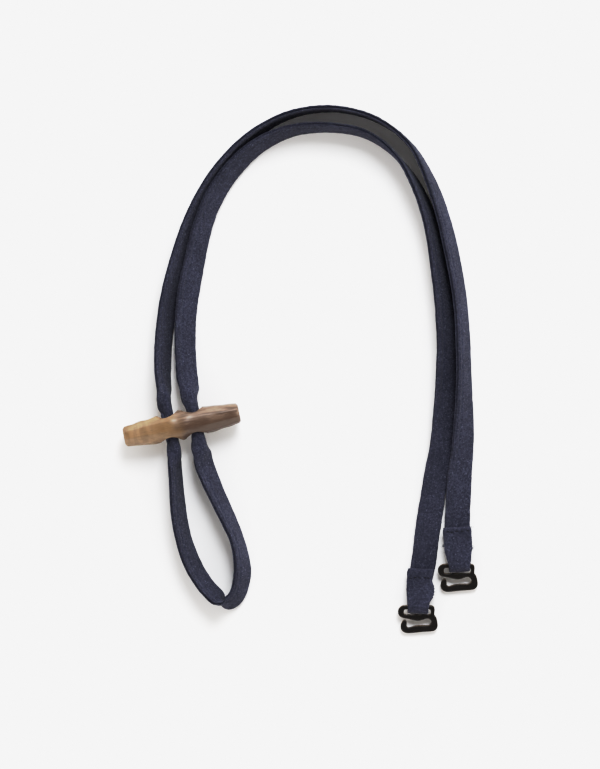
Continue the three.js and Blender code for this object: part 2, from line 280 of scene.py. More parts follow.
# Inside each bore the strap is bent across its width: a wide C in the right bore, and a U with
# straight legs in the left. Each has the bend's radius (and its side, as a sign), half the width
# that the bend takes, and how far the section's middle is off the bore's own line.
# The bend fades away from each bore: gather = exp(-(distance / reach)^falloff).
bends = {"right": (2.3, 5.0, 2.3), "left": (-1.25, 1.96, -1.85), "reach": 12, "falloff": 3.5}


def clothPoint(hook, y, z):
    turn = math.radians(hook["clothTurn"])
    across = np.array([math.cos(turn), math.sin(turn)])
    along = np.array([-math.sin(turn), math.cos(turn)])
    plan = np.array(hook["at"]) + across * hook["clothOffset"] + np.multiply.outer(y, along)
    return np.column_stack([plan, z]) if np.ndim(y) else np.array([*plan, z])


def boreMiddle(side):
    axis = np.array([math.cos(toggle["tilt"]), math.sin(toggle["tilt"])])
    return np.array(toggle["centre"]) + axis * side * toggle["borePitch"] / 2


def threaded(side, lean):
    down = np.array([math.sin(toggle["tilt"]), -math.cos(toggle["tilt"])])
    bore = boreMiddle(side)
    top = -(strap["slideUp"] + strap["slideSpare"])
    bottom = strap["slideDown"] + strap["slideSpare"]
    places = [top, top / 2, 0, bottom / 3, 2 * bottom / 3, bottom]
    return [(*(bore + down * q), lean, 1) for q in places]


def strapEnd(hook, lean, beyond):
    x, y, _ = clothPoint(hook, strap["toBar"] + beyond, 0.0)
    return (x, y, lean, 0)


# A cubic through each segment's two points, with its tangents from the neighbours:
# position = a + b f + c f^2 + d f^3 on each segment. Plan points are spaced by the square
# root of their distance, and the lean and lift are spaced evenly.
def throughPoints(points, places, spaced):
    padded = np.vstack([2 * points[0] - points[1], points, 2 * points[-1] - points[-2]])
    segment = np.minimum(places.astype(int), len(points) - 2)
    f = (places - segment)[:, None]
    p0, p1, p2, p3 = (padded[segment + k] for k in range(4))
    if spaced:
        d0, d1, d2 = (
            np.sqrt(np.linalg.norm(b - a, axis=1))[:, None] for a, b in ((p0, p1), (p1, p2), (p2, p3))
        )
        start = ((p1 - p0) / d0 - (p2 - p0) / (d0 + d1) + (p2 - p1) / d1) * d1
        end = ((p2 - p1) / d1 - (p3 - p1) / (d1 + d2) + (p3 - p2) / d2) * d1
    else:
        start = (p2 - p0) / 2
        end = (p3 - p1) / 2
    return (
        p1
        + start * f
        + (3 * (p2 - p1) - 2 * start - end) * f**2
        + (2 * (p1 - p2) + start + end) * f**3
    )


def smoothStep(low, high, x):
    t = np.clip((x - low) / (high - low), 0, 1)
    return t * t * (3 - 2 * t)


# Each value becomes the average of its neighbours under a bell curve, with straight ends.
def smoothed(values, steps):
    reach = int(3 * steps)
    bell = np.exp(-0.5 * (np.arange(-reach, reach + 1) / steps) ** 2)
    bell /= bell.sum()
    before = 2 * values[0] - values[reach:0:-1]
    after = 2 * values[-1] - values[-2 : -reach - 2 : -1]
    long = np.concatenate([before, values, after])
    return np.stack([np.convolve(long[:, k], bell, "valid") for k in range(values.shape[1])], axis=1)


def resampled(values, step):
    along = np.concatenate([[0], np.cumsum(np.linalg.norm(np.diff(values[:, :3], axis=0), axis=1))])
    at = np.linspace(0, along[-1], int(along[-1] / step) + 1)
    return np.stack([np.interp(at, along, values[:, k]) for k in range(values.shape[1])], axis=1)


# The strap turns over in a short stretch at the loop's foot: below this y, in mm, it keeps a least
# tilt, in degrees, to its own side of upright.
footTilt = {"below": -84.0, "least": 33}


def seenLeans(points):
    leans = points[:, 2].copy()
    first = 2 + len(innerRun) + len(threaded(1, 0))
    last = first + len(loopRun)
    loop = points[first:last]
    least = np.where(loop[:, 1] < footTilt["below"], footTilt["least"], 0)
    leans[first:last] = 90 + np.sign(loop[:, 2] - 90) * np.maximum(np.abs(loop[:, 2] - 90), least)
    return leans


# The strap's centre line from fold to fold: columns x, y, z, lean, lift, in mm. Where the lean is
# changed at the loop's foot, the line moves inwards so that the outer edge stays in its place.
def strapLine():
    points = np.array([
        strapEnd(hooks["left"], 0, 0),
        strapEnd(hooks["left"], 0, strap["straightEnd"]),
        *innerRun,
        *threaded(1, strap["boreLean"][0]),
        *loopRun,
        *threaded(-1, strap["boreLean"][1])[::-1],
        *outerRun,
        strapEnd(hooks["right"], 180, strap["straightEnd"]),
        strapEnd(hooks["right"], 180, 0),
    ], float)
    places = np.linspace(0, len(points) - 1, 40 * len(points))
    plan = throughPoints(points[:, :2], places, True)
    turns = throughPoints(np.column_stack([points[:, 2:], seenLeans(points)]), places, False)
    laid = np.radians(turns[:, 0])
    lean = np.radians(turns[:, 2])
    lift = np.clip(turns[:, 1], 0, 1)
    inward = (np.abs(np.cos(lean)) - np.abs(np.cos(laid))) * strap["width"] / 2 * (1 - lift)
    inward = smoothed(inward[:, None], 30)[:, 0]
    heading = np.gradient(plan, axis=0)
    heading /= np.linalg.norm(heading, axis=1)[:, None]
    plan = plan + inward[:, None] * np.column_stack([heading[:, 1], -heading[:, 0]])
    flat = (strap["width"] * np.abs(np.sin(lean)) + strap["thickness"] * np.abs(np.cos(lean))) / 2
    z = flat + (toggle["height"] - flat) * lift
    return resampled(np.column_stack([plan, z, lean, lift]), strap["step"])


# The end of the strap as it lies: under the bar, round it and back on top, from the tab's end.
def foldLine(hook):
    radius = strap["foldRadius"] + strap["foldCloth"] / 2
    bar = strap["barHeight"]
    tabHeight = strap["thickness"] + strap["clearance"] * 0.5 + strap["tabCloth"] / 2
    angle = np.linspace(0, math.pi, 24)
    y = np.concatenate([
        [strap["tabLength"], 13, 10.8, 8.6, 6.2, 4.2, 2.2],
        -radius * np.sin(angle),
        [strap["toBar"] * 0.5, strap["toBar"]],
    ])
    top = bar + radius
    z = np.concatenate([
        [tabHeight, tabHeight, tabHeight, tabHeight + 0.05, tabHeight + 0.35, top - 0.75, top - 0.2],
        bar + radius * np.cos(angle),
        [strap["foldCloth"] / 2 + 0.1, strap["thickness"] / 2],
    ])
    narrow, wide = hook["foldWidth"], hook["tabWidth"]
    width = np.interp(y, [0, 3, 7], [narrow, (narrow + wide) / 2, wide])
    width[-2:] = [9.2, strap["width"]]
    cloth = np.interp(y, [0, 5], [strap["foldCloth"], strap["tabCloth"]])
    cloth[-2:] = [1.65, strap["thickness"]]
    line = resampled(np.column_stack([y, z, 0 * y, width, cloth]), strap["step"] * 0.5)
    return smoothed(line, 1.5)


# Everything that a section needs, at even steps along the whole strap, from tab end to tab end.
def strapFrames():
    line = strapLine()
    centre = smoothed(line[:, :3], 1.8)
    lean = smoothed(line[:, 3:4], 3)[:, 0]
    away = [np.linalg.norm(line[:, :2] - boreMiddle(side), axis=1) for side in (1, -1)]
    gather = sum(np.exp(-((distance / bends["reach"]) ** bends["falloff"])) for distance in away)
    forward = np.gradient(centre, axis=0)
    forward /= np.linalg.norm(forward, axis=1)[:, None]
    leftward = np.cross([0, 0, 1], forward)
    leftward /= np.linalg.norm(leftward, axis=1)[:, None]
    upward = np.cross(forward, leftward)
    c, s = np.cos(lean)[:, None], np.sin(lean)[:, None]
    middle = len(line) // 2
    inRight = np.arange(len(line)) < middle
    radius, arc, drop = (np.where(inRight, *pair) for pair in zip(bends["right"], bends["left"]))
    run = {
        "centre": centre,
        "across": c * leftward + s * upward,
        "through": c * upward - s * leftward,
        "width": np.full(len(line), strap["width"]),
        "cloth": np.full(len(line), strap["thickness"]),
        "bend": gather / radius,
        "arc": arc,
        "drop": (1 - (1 - gather) ** 4) * drop,
    }
    parts = [foldFrames("left", False), run, foldFrames("right", True)]
    whole = {key: np.concatenate([part[key] for part in parts]) for key in run}
    whole["centre"][:, :2] += shift
    gaps = np.linalg.norm(np.diff(whole["centre"], axis=0), axis=1)
    whole["along"] = np.concatenate([[0], np.cumsum(gaps)])
    lowest = [part["centre"][:, 1].argmin() for part in (parts[0], parts[2])]
    whole["foldFrom"] = lowest[0]
    whole["foldTo"] = len(parts[0]["centre"]) + len(centre) + lowest[1]
    return whole


def foldFrames(side, atEnd):
    hook = hooks[side]
    line = foldLine(hook)[:-1]
    y, z, _, width, cloth = line.T
    heading = np.gradient(line[:, :2], axis=0)
    heading /= np.linalg.norm(heading, axis=1)[:, None]
    turn = math.radians(hook["clothTurn"])
    across = np.array([math.cos(turn), math.sin(turn), 0.0])
    along = np.array([-math.sin(turn), math.cos(turn), 0.0])
    through = -heading[:, 1:2] * along + heading[:, 0:1] * np.array([0, 0, 1.0])
    facing = -1 if atEnd else 1
    part = {
        "centre": clothPoint(hook, y, z),
        "across": np.tile(-across, (len(y), 1)),
        "through": through * facing,
        "width": width,
        "cloth": cloth,
        "bend": 0 * y,
        "arc": 0 * y + strap["width"] / 2,
        "drop": 0 * y,
    }
    return {key: value[::-1] for key, value in part.items()} if atEnd else part


# A point of the strap from its own place: a across it, b through it and along it, in mm. Where
# it is bent, the middle line of its section is an arc for as far as the arc goes, and straight
# beyond: turn = bend * a, line = (sin turn, 1 - cos turn) / bend, and b is measured square to it.
def onStrap(frames, a, b, along):
    def read(key):
        values = frames[key]
        if values.ndim == 1:
            return np.interp(along, frames["along"], values)
        return np.stack([np.interp(along, frames["along"], values[:, k]) for k in range(3)], -1)

    a = a * read("width") / strap["width"]
    b = b * read("cloth") / strap["thickness"]
    bend = read("bend")
    bend = np.where(np.abs(bend) < 1e-4, 1e-4, bend)
    arc = read("arc")
    inner = np.clip(a, -arc, arc)
    turn = bend * inner
    outward = np.sin(turn) / bend + (a - inner) * np.cos(turn) - b * np.sin(turn)
    inward = (1 - np.cos(turn)) / bend + (a - inner) * np.sin(turn) + b * np.cos(turn)
    inward = inward - read("drop")
    return read("centre") + outward[..., None] * read("across") + inward[..., None] * read("through")


# The section, as (a, b) round the strip: a soft fold at one edge, a pinch where the topstitch
# runs, and two lips with a groove between them at the open edge.
section = {"fold": 0.55, "pinchAt": 2.45, "pinchWidth": 0.5, "pinch": 0.3, "lip": 0.75, "groove": 1.3}


def stripSection(count):
    half = strap["thickness"] / 2
    side = strap["width"] / 2
    faceCount = count // 2 - 8
    a = np.linspace(-side + section["fold"], side - section["lip"], faceCount)
    top = np.column_stack([a, np.full(faceCount, half)])
    top[:, 1] *= 1 - 0.1 * smoothStep(side - 1.6, side, np.abs(a))
    turn = np.linspace(0.5, 0.12, 5) * math.pi
    lips = np.column_stack([
        side - section["lip"] + section["lip"] * np.cos(turn),
        half * 0.52 + half * 0.38 * np.sin(turn),
    ])
    groove = np.array([[side - 0.1, half * 0.36], [side - section["groove"], half * 0.05]])
    upper = np.vstack([top, lips, groove])
    lower = upper[::-1] * [1, -1]
    bend = np.linspace(-0.5, 0.5, 10)[1:-1] * math.pi
    deep = section["fold"]
    fold = np.column_stack([-side + deep - deep * np.cos(bend), half * 0.9 * np.sin(bend)])
    return np.vstack([upper, lower, fold])


def meshFrom(name, points, faces, material, smooth=True):
    mesh = bpy.data.meshes.new(name)
    mesh.from_pydata(points.reshape(-1, 3).tolist(), [], faces)
    mesh.materials.append(material)
    mesh.polygons.foreach_set("use_smooth", [smooth] * len(mesh.polygons))
    mesh.update()
    piece = bpy.data.objects.new(name, mesh)
    bpy.context.scene.collection.objects.link(piece)
    return piece


# Quads between neighbouring rings of one size, each ring closed on itself.
def ringFaces(rings, ring, first=0):
    i, k = np.meshgrid(np.arange(rings - 1), np.arange(ring), indexing="ij")
    here = first + i * ring
    after = (k + 1) % ring
    quads = np.stack([here + k, here + after, here + ring + after, here + ring + k], -1)
    return quads.reshape(-1, 4)


# The strip's face in relief: the pinch under the topstitch, deeper at each stitch's ends, slanting
# ropes between it and the open edge, and slow swells, all in mm outwards.
stitching = {"pitch": 3.4, "length": 2.4, "radius": 0.15, "at": 2.45, "fromEnd": 4.0, "backOffset": 1.7}


def relief(a, along, random):
    stitch = 0.5 + 0.5 * np.cos(2 * math.pi * along / stitching["pitch"])
    pinch = np.exp(-(((a - section["pinchAt"]) / section["pinchWidth"]) ** 2))
    out = -section["pinch"] * pinch * (0.55 + 0.45 * stitch)
    rope = np.sin(2 * math.pi * (along + 1.1 * a) / stitching["pitch"])
    out += 0.055 * rope * smoothStep(2.5, 3.4, a)
    out += 0.03 * np.sin(2 * math.pi * (along - 0.8 * a) / stitching["pitch"]) * smoothStep(2.3, 0.5, a)
    for _ in range(7):
        long, wide = random.uniform(5, 17), random.uniform(4, 11)
        phase, lean = random.uniform(0, 6.28, 2)
        out += 0.022 * np.sin(6.28 * along / long + phase) * np.cos(6.28 * a / wide + lean)
    return out


# Wear, in mm: both edges are a little rough, the left tab's frayed edge spreads, and each tab row
# pulls a furrow across the cloth.
wear = {
    "rough": 0.022,
    "frayAt": 9.2,
    "frayReach": 3.4,
    "fraySpread": 1.15,
    "furrow": 0.3,
    "furrowWidth": 0.42,
}


def makeStrap(frames):
    random = np.random.default_rng(11)
    ring = stripSection(strap["ringPoints"])
    count = len(ring)
    along = frames["along"][:, None]
    a = np.broadcast_to(ring[None, :, 0], (len(along), count)).copy()
    b = np.broadcast_to(ring[None, :, 1], (len(along), count)).copy()
    alongAll = np.broadcast_to(along, a.shape)
    onFace = smoothStep(4.95, 4.2, np.abs(a))
    facing = np.sign(b)
    back = alongAll + stitching["backOffset"]
    swell = np.where(b > 0, relief(a, alongAll, random), relief(a, back, random))
    b += facing * swell * onFace
    wander = 1 + 0.012 * np.sin(alongAll / 7.3) + 0.009 * np.sin(alongAll / 3.1 + 1)
    rough = smoothed(random.normal(0, 1, (len(along), 2)), 1.3) * wear["rough"]
    wander += np.where(a > 0, rough[:, :1], rough[:, 1:])
    a *= wander
    last = frames["along"][-1]
    ends = np.minimum(alongAll, last - alongAll)
    b *= 0.45 + 0.55 * smoothStep(0, 0.7, ends)
    a *= 1 - 0.055 * smoothStep(1.3, 0, ends)
    spread = np.exp(-(((alongAll - wear["frayAt"]) / wear["frayReach"]) ** 4)) * wear["fraySpread"]
    a -= spread * smoothStep(0, -4.6, a) * (1 + 0.12 * np.sin(alongAll * 5.1))
    for place in (hooks["left"]["row"], last - hooks["right"]["row"]):
        near = np.exp(-(((alongAll - place) / wear["furrowWidth"]) ** 2))
        furrow = near * smoothStep(4.8, 3.8, np.abs(a))
        b -= facing * wear["furrow"] * furrow * (0.6 + 0.4 * np.cos(2 * math.pi * a / 1.8))
    points = onStrap(frames, a, b, alongAll)
    caps = np.array([points[0].mean(0), points[-1].mean(0)])
    total = len(points) * count
    base = total - count
    k = np.arange(count)
    first = np.column_stack([np.full(count, total), (k + 1) % count, k])
    final = np.column_stack([np.full(count, total + 1), base + k, base + (k + 1) % count])
    faces = ringFaces(len(points), count).tolist() + first.tolist() + final.tolist()
    allPoints = np.vstack([points.reshape(-1, 3), caps]) * mm
    piece = meshFrom("strap", allPoints, faces, navyCotton)
    giveClothMap(piece, count, len(points), ring, frames["along"])
    return piece


# UV in mm: once round the strip's section, and along it.
def giveClothMap(piece, count, rings, ring, along):
    gaps = np.linalg.norm(np.roll(ring, -1, axis=0) - ring, axis=1)
    around = np.concatenate([[0], np.cumsum(gaps)])
    i, k = np.meshgrid(np.arange(rings - 1), np.arange(count), indexing="ij")
    u = np.stack([around[k], around[k + 1], around[k + 1], around[k]], -1)
    v = np.stack([along[i], along[i], along[i + 1], along[i + 1]], -1)
    flat = np.stack([u, v], -1).reshape(-1, 2)
    layer = piece.data.uv_layers.new(name="cloth")
    full = np.zeros((len(piece.data.loops), 2), np.float32)
    full[: len(flat)] = flat
    layer.data.foreach_set("uv", full.ravel())


frames = strapFrames()
print("strap", frames["along"][-1].round(1), "mm with its tabs")
strapPiece = makeStrap(frames)
print("strap mesh", len(strapPiece.data.polygons))

# Thread: a soft twisted cotton, close to the cloth along the strap and darker across the tabs, where its
# near-black colour also paints the shade of the stitch dips.
thread = {"dark": (0.020, 0.022, 0.038), "pale": (0.044, 0.050, 0.082)}
# Partly painted shade: the tab rows' thread is made near-black to stand in for the shade in the dips round
# each stitch.
shadedRowThread = {"dark": (0.004, 0.004, 0.008), "pale": (0.013, 0.014, 0.025)}


def makeThread(name, look):
    material, wire, shader = newMaterial(name, {"Roughness": 0.8, "Specular IOR Level": 0.2})
    place = wire.objectPlace()
    tone = wire.noise(place, 1800.0, 2.0)
    tint = wire.make("ValToRGB", {"stops": [(0.3, look["dark"]), (0.75, look["pale"])]}, {0: tone})
    plug(tint, shader, "Base Color")
    bump = wire.make("Bump", None, {"Strength": 0.5, "Distance": 0.0002, "Height": tone})
    plug(bump, shader, "Normal")
    return material


navyThread = makeThread("navyThread", thread)
rowThread = makeThread("rowThread", shadedRowThread)


# One stitch is a short tube that dips into the cloth at both ends: its middle line rises as
# the sine along it, and its radius shrinks towards the ends. All stitches are made at once.
def stitchTubes(name, frames, starts, acrossAt, faceAt, alongStep, acrossStep, radius, material):
    rows, sides = 9, 7
    t = np.linspace(0, 1, rows)[None, :, None]
    turn = np.linspace(0, 2 * math.pi, sides, endpoint=False)[None, None, :]
    girth = radius * (0.35 + 0.65 * np.sin(math.pi * t) ** 0.5)
    dip = 0.16 * np.sin(math.pi * t) - 0.14
    lift = faceAt[:, None, None] + np.sign(faceAt)[:, None, None] * dip
    slantA = acrossStep[:, None, None] * (t - 0.5)
    slantL = alongStep[:, None, None] * (t - 0.5)
    long = np.hypot(acrossStep, alongStep)[:, None, None]
    sideA = alongStep[:, None, None] / long
    sideL = -acrossStep[:, None, None] / long
    a = acrossAt[:, None, None] + slantA + sideA * girth * np.cos(turn)
    b = lift + girth * np.sin(turn)
    along = starts[:, None, None] + slantL + sideL * girth * np.cos(turn)
    a, b, along = np.broadcast_arrays(a, b, along)
    points = onStrap(frames, a, b, along)
    each = rows * sides
    faces = ringFaces(rows, sides)
    stitches = np.arange(len(starts))[:, None, None] * each
    quads = (faces[None] + stitches).reshape(-1, 4)
    k = np.arange(sides)
    front = (k[::-1][None] + stitches[:, 0]).tolist()
    back = (k[None] + each - sides + stitches[:, 0]).tolist()
    return meshFrom(name, points * mm, quads.tolist() + front + back, material)


def makeTopstitch(frames):
    random = np.random.default_rng(5)
    last = frames["along"][-1]
    first = np.arange(stitching["fromEnd"], last - stitching["fromEnd"], stitching["pitch"])
    starts = np.concatenate([first, first + stitching["backOffset"]])
    starts = starts + random.normal(0, 0.12, len(starts))
    half = strap["thickness"] / 2
    face = np.concatenate([np.full(len(first), half), np.full(len(first), -half)])
    face = face * 0.83
    across = stitching["at"] + random.normal(0, 0.06, len(starts))
    length = np.full(len(starts), stitching["length"])
    slant = random.normal(0.12, 0.08, len(starts))
    return stitchTubes(
        "topstitch", frames, starts, across, face, length, slant, stitching["radius"], navyThread
    )


topstitch = makeTopstitch(frames)


# The row across a tab, on the tab's outer face.
tabStitching = {"stitches": 5, "reach": 3.6, "length": 1.25, "radius": 0.27}


def makeTabRow(side, frames):
    random = np.random.default_rng(3 if side == "left" else 4)
    hook = hooks[side]
    last = frames["along"][-1]
    place = hook["row"] if side == "left" else last - hook["row"]
    count = tabStitching["stitches"]
    reach = tabStitching["reach"]
    across = np.linspace(-reach, reach, count) + random.normal(0, 0.1, count)
    starts = place + random.normal(0, 0.12, count)
    outer = -1 if side == "left" else 1
    face = np.full(count, outer * strap["thickness"] / 2 * 0.92)
    step = np.full(count, tabStitching["length"])
    slant = random.normal(0, 0.12, count)
    radius = tabStitching["radius"]
    return stitchTubes(side + "TabRow", frames, starts, across, face, slant, step, radius, rowThread)


tabRows = {side: makeTabRow(side, frames) for side in hooks}
print("stitches done")

# Fuzz: fine hairs standing out of the strip's two edges and, fewer, its faces, with thicker tufts
# where a tab frays: (tab, distance from its end, edge, hairs, length, radius) in mm.
fuzz = {
    "hairs": 5600,
    "radius": 0.02,
    "shortest": 0.3,
    "longest": 1.0,
    "clearOfBores": 10.5,
    "clearOfBars": 4.5,
}
tufts = [
    ("left", 9.6, -1, 34, 1.5, 0.085), ("left", 11.6, -1, 26, 1.2, 0.08),
    ("left", 7.4, -1, 14, 0.9, 0.07), ("right", 7.4, 1, 22, 0.75, 0.1),
    ("right", 8.6, -1, 22, 0.75, 0.1), ("right", 0.4, -1, 12, 0.8, 0.06),
]


# A hair's middle line leaves its root along a direction and bends over as the square of its
# length: place = root + reach t + sag t^2, in the strip's own a, b and along.
def hairTubes(name, root, reach, sag, radius, material):
    rows, sides = 4, 3
    t = np.linspace(0, 1, rows)[None, :, None, None]
    line = root[:, None, None] + reach[:, None, None] * t + sag[:, None, None] * t**2
    turn = np.linspace(0, 2 * math.pi, sides, endpoint=False)
    girth = radius[:, None, None, None] * (1.15 - t)
    around = np.stack([0.5 * np.cos(turn), np.sin(turn), np.cos(turn)], -1)[None, None]
    a, b, along = np.moveaxis(line + girth * around, -1, 0)
    points = onStrap(frames, a, b, along)
    points[..., 2] = np.maximum(points[..., 2], 0.02)
    hairs = np.arange(len(root))[:, None, None] * rows * sides
    quads = (ringFaces(rows, sides)[None] + hairs).reshape(-1, 4)
    k = np.arange(sides)
    front = (k[::-1][None] + hairs[:, 0]).tolist()
    back = (k[None] + (rows - 1) * sides + hairs[:, 0]).tolist()
    return meshFrom(name, points * mm, quads.tolist() + front + back, material)


def makeFuzz(frames):
    random = np.random.default_rng(21)
    last = frames["along"][-1]
    count = fuzz["hairs"]
    along = random.uniform(0.5, last - 0.5, count)
    onEdge = random.random(count) < 0.7
    side = random.choice([-1, 1], count)
    face = random.choice([-1, 1], count)
    half = strap["thickness"] / 2
    a = np.where(onEdge, side * random.uniform(4.3, 4.8, count), random.uniform(-4.6, 4.6, count))
    b = np.where(onEdge, random.uniform(-0.7, 0.7, count), face * half * 0.75)
    long = random.uniform(fuzz["shortest"], fuzz["longest"], count)
    out = np.where(onEdge, side * long, 0)
    up = np.where(onEdge, 0, face * long * 0.5)
    reach = np.column_stack([out, up, 0 * long]) + random.normal(0, 0.3, (count, 3)) * [0.4, 0.5, 1]
    sag = random.normal(0, 0.25, (count, 3))
    radius = np.full(count, fuzz["radius"])
    middle = np.stack([np.interp(along, frames["along"], frames["centre"][:, k]) for k in (0, 1)], -1)
    bores = [np.linalg.norm(middle - shift - boreMiddle(k), axis=1) for k in (-1, 1)]
    bars = [np.linalg.norm(middle - shift - hook["at"], axis=1) for hook in hooks.values()]
    kept = (np.minimum(*bores) > fuzz["clearOfBores"]) & (np.minimum(*bars) > fuzz["clearOfBars"])
    parts = [[np.column_stack([a, b, along])[kept], reach[kept], sag[kept], radius[kept]]]
    for side, place, edge, count, long, thick in tufts:
        at = place if side == "left" else last - place
        root = np.column_stack([
            np.full(count, edge * 4.6), random.uniform(-0.5, 0.5, count), at + random.normal(0, 0.45, count)
        ])
        reach = np.array([edge * long, 0, 0]) + random.normal(0, 0.3 * long, (count, 3))
        parts.append([root, reach, random.normal(0, 0.35 * long, (count, 3)), np.full(count, thick)])
    root, reach, sag, radius = (np.concatenate(group) for group in zip(*parts))
    return hairTubes("fuzz", root, reach, sag, radius, navyThread)


fuzzPiece = makeFuzz(frames)
print("fuzz", len(fuzzPiece.data.polygons))

# Wood: tan at the left end, brown at the right, with fine grain along it and dark flecks. On the right
# end's side towards the lamp (+y), a paler colour is mixed in by patches: painted light, not the wood's own
# colour.
wood = {
    "tan": (0.138, 0.086, 0.042),
    "pale": (0.200, 0.136, 0.078),
    "brown": (0.058, 0.033, 0.020),
    "litGrey": (0.178, 0.130, 0.096),
    "fleck": (0.036, 0.020, 0.012),
}


def toggleFrame():
    return (np.array(toggle["centre"]) + shift) * mm, toggle["tilt"]


def makeWood(look):
    material, wire, shader = newMaterial(
        "carvedWood",
        {"Roughness": 0.42, "Specular IOR Level": 0.35, "Coat Weight": 0.15, "Coat Roughness": 0.25},
    )
    middle, tilt = toggleFrame()
    seat = (*middle, toggle["height"] * mm)
    local = wire.make(
        "Mapping",
        {"vector_type": "TEXTURE"},
        {"Vector": wire.objectPlace(), "Location": seat, "Rotation": (0, 0, tilt)},
    )
    x = wire.make("SeparateXYZ", None, {0: local})
    y = Wire(wire.tree, x.socket.node.outputs[1])
    stretched = wire.make("Mapping", None, {"Vector": local, "Scale": (0.12, 1, 1)})
    grain = wire.noise(stretched, 2600.0, 4.0, 0.6)
    broad = wire.noise(stretched, 700.0, 3.0, 0.55)
    patch = wire.noise(local, 140.0, 3.0)
    across = wire.make("Mapping", None, {"Vector": local, "Scale": (1, 0.18, 0.18)})
    bands = wire.noise(across, 620.0, 3.0)
    end = (x * 1000 / 23.5 + (patch - 0.5) * 0.9 + (broad - 0.5) * 0.25).between(-0.3, 0.12)
    light = wire.mix(patch.between(0.35, 0.65), colour(*look["tan"]), colour(*look["pale"]))
    light = wire.mix(broad.between(0.5, 0.75) * 0.35, light, colour(*look["pale"]))
    # Painted light: the barrel's side towards the lamp (+y) is painted paler at the right end.
    upper = (y * 1000 / 6 + (patch - 0.5) * 1.5).between(-0.5, 0.9)
    dark = wire.mix(upper * broad.between(0.32, 0.62), colour(*look["brown"]), colour(*look["litGrey"]))
    body = wire.mix(end, light, dark)
    body = wire.mix(grain.between(0.5, 0.72) * 0.4, body, colour(*look["fleck"]))
    leftEnd = (x * 1000 / 23.5).between(-0.4, -0.7)
    body = wire.mix(bands.between(0.5, 0.6) * leftEnd * 0.22, body, colour(*look["brown"]))
    plug(body, shader, "Base Color")
    plug(grain.between(0.2, 0.8, 0.36, 0.55), shader, "Roughness")
    rise = grain * 0.6 + broad * 0.4
    bump = wire.make("Bump", None, {"Strength": 0.35, "Distance": 0.0002, "Height": rise})
    plug(bump, shader, "Normal")
    return material


carvedWood = makeWood(wood)


# The barrel: radius falls from the middle to each end on a smooth curve, flattened into soft
# facets towards the ends, and dished round each bore's mouths. Its own frame has x along it.
def makeToggle():
    rows, sides = 220, 144
    half = toggle["length"] / 2
    x = np.linspace(-half, half, rows)[:, None]
    turn = np.linspace(0, 2 * math.pi, sides, endpoint=False)[None, :]
    share = np.abs(x) / half
    fall = 0.42 * share**2 + 0.58 * share**1.35
    radius = toggle["middleRadius"] + (toggle["endRadius"] - toggle["middleRadius"]) * fall
    wedge = 2 * math.pi / toggle["facets"]
    inWedge = np.mod(turn + 0.28 + 0.05 * np.sin(x / 9), wedge) - wedge / 2
    flat = np.cos(wedge / 2) / np.cos(inWedge)
    facet = toggle["facetDepth"] * smoothStep(0.05, 0.55, share)
    radius = radius * (1 - facet * (1 - flat) * 1.4)
    edge = smoothStep(half, half - 1.0, np.abs(x))
    radius = radius * (0.82 + 0.18 * np.sqrt(edge))
    random = np.random.default_rng(8)
    for _ in range(10):
        long, phase = random.uniform(4, 14), random.uniform(0, 6.28)
        waves = random.integers(1, 6)
        radius = radius + 0.035 * np.sin(6.28 * x / long + phase) * np.cos(waves * turn + phase)
    y, z = radius * np.sin(turn), radius * np.cos(turn)
    for side in (-1, 1):
        away = np.hypot(x - side * toggle["borePitch"] / 2, z)
        dish = toggle["mouthDip"] * np.exp(-((away / (toggle["boreRadius"] + 0.6)) ** 4))
        y = y - np.sign(y) * dish * smoothStep(0.3, 0.8, np.abs(np.sin(turn)))
    points = np.stack([np.broadcast_to(x, y.shape), y, z], -1)
    k = np.arange(sides)
    base = (rows - 1) * sides
    faces = ringFaces(rows, sides)[:, ::-1].tolist()
    faces += [k.tolist(), (base + k[::-1]).tolist()]
    piece = meshFrom("toggleBody", points * mm, faces, carvedWood)
    cutBores(piece)
    middle, tilt = toggleFrame()
    seat = Matrix.Translation((*middle, toggle["height"] * mm))
    piece.data.transform(seat @ Matrix.Rotation(tilt, 4, "Z"))
    return piece


# Each cutter is a straight bore for its middle millimetres and flares out towards its mouths.
def cutBores(piece):
    rows, sides = 41, 48
    turn = np.linspace(0, 2 * math.pi, sides, endpoint=False)
    y = np.linspace(-9, 9, rows)[:, None]
    for side in (-1, 1):
        radius = toggle["boreRadius"] + toggle["flare"] * smoothStep(1.0, 6.2, np.abs(y))
        x = radius * np.cos(turn) + side * toggle["borePitch"] / 2
        points = np.stack(np.broadcast_arrays(x, y, radius * np.sin(turn)), -1)
        faces = ringFaces(rows, sides)[:, ::-1].tolist()
        last = (rows - 1) * sides
        faces += [list(range(sides)), list(range(last + sides - 1, last - 1, -1))]
        cutter = meshFrom("boreCutter", points * mm, faces, carvedWood)
        change = piece.modifiers.new("bore", "BOOLEAN")
        change.operation = "DIFFERENCE"
        change.solver = "EXACT"
        change.object = cutter
        applyAll(piece)
        bpy.data.objects.remove(cutter)


def applyAll(piece):
    bpy.context.view_layer.update()
    shown = piece.evaluated_get(bpy.context.evaluated_depsgraph_get())
    done = bpy.data.meshes.new_from_object(shown)
    piece.modifiers.clear()
    piece.data = done


togglePiece = makeToggle()
print("toggle", len(togglePiece.data.polygons))

